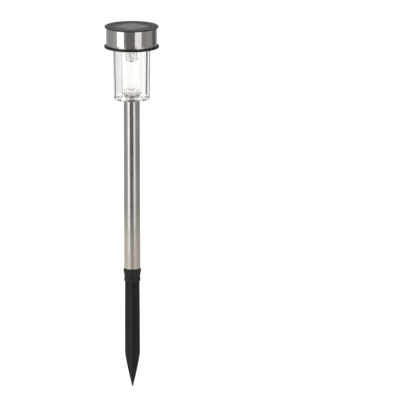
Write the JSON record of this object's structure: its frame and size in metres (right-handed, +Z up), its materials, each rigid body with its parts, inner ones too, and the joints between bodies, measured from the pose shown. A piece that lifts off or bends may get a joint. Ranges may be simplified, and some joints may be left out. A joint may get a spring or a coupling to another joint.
{
  "type": "solar garden light",
  "caption": "Solar garden stake light: round steel-banded head with a panel on top, clear fluted cup with an LED, slim steel tube and a black cross-shaped ground spike.",
  "frame": {"origin": "on the light's axis, at the underside of the spike's collar, where the soil's surface comes", "axes": "+Z up along the light's axis, -Y towards the side the picture shows"},
  "size_m": [0.0538, 0.0538, 0.3596],
  "materials": {
    "black_plastic": "satin moulded polypropylene",
    "grey_plastic": "satin dark grey moulding",
    "stainless_steel": "bright drawn stainless sheet",
    "clear_plastic": "clear glossy polystyrene",
    "window_resin": "clear glossy resin",
    "cell_silicon": "dark silicon with fine grid lines",
    "seal_rubber": "matte",
    "led_epoxy": "water-clear epoxy",
    "plated_steel": "tin or zinc plated",
    "board_laminate": "paper laminate",
    "chip_black": "matte moulding compound",
    "ferrite": "dull grey ferrite",
    "battery_jacket": "shrunk plastic jacket",
    "red_wire_jacket": "soft plastic jacket",
    "black_wire_jacket": "soft plastic jacket"
  },
  "bodies": {
    "spike": {"ground_spike": "black_plastic"},
    "tube": {"tube": "stainless_steel"},
    "cup": {"lens": "clear_plastic"},
    "seal": {"head_seal": "seal_rubber"},
    "head": {"base_housing": "black_plastic", "cap_band": "stainless_steel", "top_disc": "grey_plastic", "panel_window": "window_resin", "solar_cell": "cell_silicon", "led_sleeve": "clear_plastic", "led": "led_epoxy", "led_leg_cathode": "plated_steel", "led_leg_anode": "plated_steel", "circuit_board": "board_laminate", "driver_chip": "chip_black", "inductor": "ferrite", "battery_cell": "battery_jacket", "battery_plus_contact": "plated_steel", "battery_minus_contact": "plated_steel", "battery_minus_spring": "plated_steel", "panel_wire_red": "red_wire_jacket", "panel_wire_black": "black_wire_jacket", "battery_wire_red": "red_wire_jacket", "battery_wire_black": "black_wire_jacket", "switch_body": "chip_black", "housing_screw_1": "plated_steel", "housing_screw_2": "plated_steel", "housing_screw_3": "plated_steel"},
    "switch": {"switch_knob": "black_plastic"}
  },
  "joints": [
    {"name": "tube_lift", "type": "slide", "parent": "spike", "child": "tube", "axis": [0, 0, 1], "range_m": [0, 0.045]},
    {"name": "lens_lift", "type": "slide", "parent": "tube", "child": "cup", "axis": [0, 0, 1], "range_m": [0, 0.03]},
    {"name": "head_lift", "type": "slide", "parent": "cup", "child": "seal", "axis": [0, 0, 1], "range_m": [0, 0.04]},
    {"name": "head_twist", "type": "hinge", "parent": "seal", "child": "head", "pos_m": [0, 0, 0.2384], "axis": [0, 0, -1], "range_deg": [0, 25]},
    {"name": "switch_slide", "type": "slide", "parent": "head", "child": "switch", "axis": [1, 0, 0], "range_m": [0, 0.002]}
  ]
}
